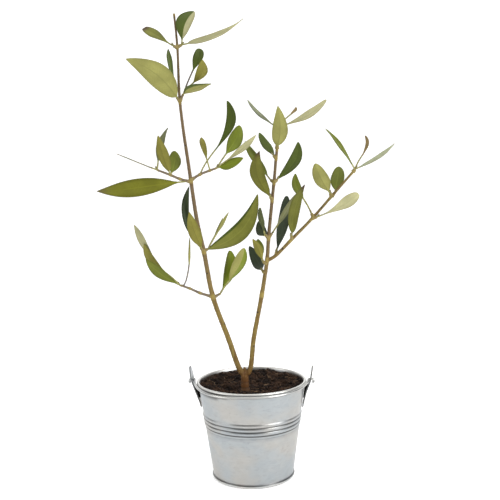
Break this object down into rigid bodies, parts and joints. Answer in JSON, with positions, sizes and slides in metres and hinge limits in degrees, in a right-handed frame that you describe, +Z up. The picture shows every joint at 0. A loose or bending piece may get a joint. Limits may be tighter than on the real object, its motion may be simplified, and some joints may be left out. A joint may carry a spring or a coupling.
{
  "type": "potted olive tree",
  "caption": "Young olive plant with two slender stems, a side bough and narrow opposite leaves, growing in a small ribbed zinc pail of soil with side ears and a swinging wire bail.",
  "frame": {"origin": "centre of the pail's flat underside", "axes": "+Z up; the front, where the bail hangs, faces -Y; +X to the right seen from the front"},
  "size_m": [0.1756, 0.0699, 0.2849],
  "materials": {
    "zinc": "galvanised sheet and wire, soft mottled spangle, half gloss",
    "soil": "dark crumbly potting soil with pale fibres, matt",
    "bark": "smooth young bark, grey-brown, satin",
    "foliage": "leathery leaf, deep green above and pale grey-green below, satin"
  },
  "bodies": {
    "planter": {"pail": "zinc", "soil": "soil", "ear_right": "zinc", "ear_left": "zinc", "trunk": "bark", "stem_left": "bark", "stem_right": "bark", "side_bough": "bark", "foliage_top_left": "foliage", "foliage_top_right": "foliage", "foliage_upper_left": "foliage", "foliage_upper_right": "foliage", "foliage_middle_left": "foliage", "foliage_middle_right": "foliage", "foliage_lower_left": "foliage", "foliage_lower_right": "foliage", "foliage_low_left": "foliage", "foliage_low_right": "foliage", "foliage_crest": "foliage", "foliage_right_a": "foliage", "foliage_right_b": "foliage", "foliage_right_c": "foliage", "foliage_right_d": "foliage", "foliage_right_e": "foliage", "foliage_right_f": "foliage", "foliage_right_g": "foliage", "foliage_right_h": "foliage", "foliage_bough_a": "foliage", "foliage_bough_b": "foliage", "foliage_bough_c": "foliage", "foliage_bough_d": "foliage", "foliage_bough_e": "foliage", "foliage_bough_f": "foliage", "foliage_bough_tip": "foliage"},
    "bail": {"bail": "zinc"}
  },
  "joints": [
    {"name": "bail_swing", "type": "hinge", "parent": "planter", "child": "bail", "pos_m": [0, 0, 0.0602], "axis": [-0.9954, 0.0958, 0], "range_deg": [0, 60]}
  ]
}
